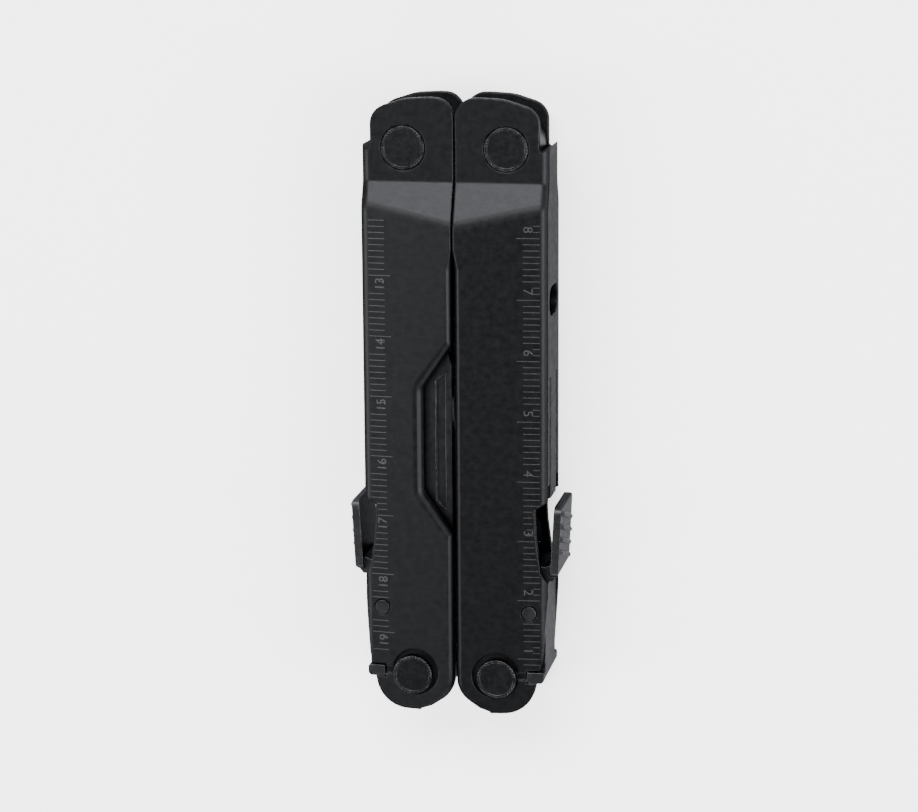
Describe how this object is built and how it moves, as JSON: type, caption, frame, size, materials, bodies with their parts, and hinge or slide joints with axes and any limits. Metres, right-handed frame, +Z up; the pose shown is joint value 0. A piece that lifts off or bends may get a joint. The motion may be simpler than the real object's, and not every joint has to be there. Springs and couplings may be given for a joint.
{
  "type": "folding plier multi tool",
  "caption": "Closed folding multi tool: two channel handles hinged on needle-nose pliers, with inside-opening blades and drivers, rocker locks and rulers, in black steel.",
  "frame": {"origin": "centre of the closed tool's outline, at the height of the surface it lies on", "axes": "+X across the handles to the right-hand one, +Y along the handles towards the plier pivots, +Z up through the thickness; the closed tool lies on its back"},
  "size_m": [0.035, 0.1016, 0.0162],
  "materials": {
    "handle_black": "black oxide, satin",
    "jaw_black": "black oxide, satin",
    "tool_black": "black oxide, satin",
    "pivot_black": "black oxide, satin",
    "lock_black": "black oxide, satin",
    "blade_steel": "black oxide with bright ground edge",
    "cutter_steel": "dark tool steel",
    "washer_bronze": "dull bronze",
    "spacer_steel": "satin"
  },
  "bodies": {
    "plier_jaw_front": {"jaw_front_lap": "jaw_black", "plier_rivet": "jaw_black", "wire_cutter_left": "cutter_steel", "cutter_screw_left": "cutter_steel"},
    "plier_jaw_back": {"jaw_back_lap": "jaw_black", "wire_cutter_right": "cutter_steel", "cutter_screw_right": "cutter_steel"},
    "handle_left": {"handle_left": "handle_black", "head_pivot_left": "pivot_black", "head_pivot_screw_left": "pivot_black", "head_washers_left": "washer_bronze", "tool_pivot_left": "pivot_black", "tool_pivot_screw_left": "pivot_black", "lock_pin_left": "lock_black", "tool_spacers_left": "spacer_steel"},
    "handle_right": {"handle_right": "handle_black", "head_pivot_right": "pivot_black", "head_pivot_screw_right": "pivot_black", "head_washers_right": "washer_bronze", "tool_pivot_right": "pivot_black", "tool_pivot_screw_right": "pivot_black", "lock_pin_right": "lock_black", "tool_spacers_right": "spacer_steel"},
    "lock_left": {"lock_left": "lock_black"},
    "lock_right": {"lock_right": "lock_black"},
    "knife": {"knife": "blade_steel"},
    "can_opener": {"can_opener": "tool_black"},
    "awl": {"awl": "tool_black"},
    "saw": {"saw": "blade_steel"},
    "serrated_knife": {"serrated_knife": "blade_steel"},
    "large_screwdriver": {"large_screwdriver": "tool_black"},
    "phillips_driver": {"phillips_driver": "tool_black"},
    "small_screwdriver": {"small_screwdriver": "tool_black"},
    "file": {"file": "blade_steel"}
  },
  "joints": [
    {"name": "handle_left_open", "type": "hinge", "parent": "plier_jaw_back", "child": "handle_left", "pos_m": [-0.0084, 0.0427, 0], "axis": [0, 0, -1], "range_deg": [0, 165]},
    {"name": "handle_right_open", "type": "hinge", "parent": "plier_jaw_front", "child": "handle_right", "pos_m": [0.0084, 0.0427, 0], "axis": [0, 0, 1], "range_deg": [0, 165]},
    {"name": "jaw_open", "type": "hinge", "parent": "plier_jaw_front", "child": "plier_jaw_back", "pos_m": [0, 0.019, 0], "axis": [0, 0, 1], "range_deg": [0, 45]},
    {"name": "knife_open", "type": "hinge", "parent": "handle_left", "child": "knife", "pos_m": [-0.00705, -0.0446, 0], "axis": [0, 0, -1], "range_deg": [0, 180]},
    {"name": "can_opener_open", "type": "hinge", "parent": "handle_left", "child": "can_opener", "pos_m": [-0.00705, -0.0446, 0], "axis": [0, 0, -1], "range_deg": [0, 180]},
    {"name": "awl_open", "type": "hinge", "parent": "handle_left", "child": "awl", "pos_m": [-0.00705, -0.0446, 0], "axis": [0, 0, -1], "range_deg": [0, 180]},
    {"name": "saw_open", "type": "hinge", "parent": "handle_left", "child": "saw", "pos_m": [-0.00705, -0.0446, 0], "axis": [0, 0, -1], "range_deg": [0, 180]},
    {"name": "serrated_knife_open", "type": "hinge", "parent": "handle_right", "child": "serrated_knife", "pos_m": [0.00705, -0.0446, 0], "axis": [0, 0, 1], "range_deg": [0, 180]},
    {"name": "large_screwdriver_open", "type": "hinge", "parent": "handle_right", "child": "large_screwdriver", "pos_m": [0.00705, -0.0446, 0], "axis": [0, 0, 1], "range_deg": [0, 180]},
    {"name": "phillips_driver_open", "type": "hinge", "parent": "handle_right", "child": "phillips_driver", "pos_m": [0.00705, -0.0446, 0], "axis": [0, 0, 1], "range_deg": [0, 180]},
    {"name": "small_screwdriver_open", "type": "hinge", "parent": "handle_right", "child": "small_screwdriver", "pos_m": [0.00705, -0.0446, 0], "axis": [0, 0, 1], "range_deg": [0, 180]},
    {"name": "file_open", "type": "hinge", "parent": "handle_right", "child": "file", "pos_m": [0.00705, -0.0446, 0], "axis": [0, 0, 1], "range_deg": [0, 180]},
    {"name": "lock_left_press", "type": "hinge", "parent": "handle_left", "child": "lock_left", "pos_m": [-0.0123, -0.0335, 0], "axis": [0, 0, -1], "range_deg": [0, 3.5], "stiffness_Nm_per_rad": 0.6},
    {"name": "lock_right_press", "type": "hinge", "parent": "handle_right", "child": "lock_right", "pos_m": [0.0123, -0.0335, 0], "axis": [0, 0, 1], "range_deg": [0, 3.5], "stiffness_Nm_per_rad": 0.6}
  ],
  "couplings": [
    {"joint": "handle_right_open", "follows": "handle_left_open", "ratio": 1},
    {"joint": "jaw_open", "follows": "handle_left_open", "ratio": 0.2727},
    {"joint": "knife_open", "follows": "handle_left_open", "ratio": 0.48},
    {"joint": "can_opener_open", "follows": "handle_left_open", "ratio": 0.74},
    {"joint": "awl_open", "follows": "handle_left_open", "ratio": 0.7},
    {"joint": "saw_open", "follows": "handle_left_open", "ratio": 0.34},
    {"joint": "serrated_knife_open", "follows": "handle_left_open", "ratio": 0.48},
    {"joint": "large_screwdriver_open", "follows": "handle_left_open", "ratio": 0.62},
    {"joint": "phillips_driver_open", "follows": "handle_left_open", "ratio": 0.7},
    {"joint": "small_screwdriver_open", "follows": "handle_left_open", "ratio": 0.74},
    {"joint": "file_open", "follows": "handle_left_open", "ratio": 0.34}
  ]
}
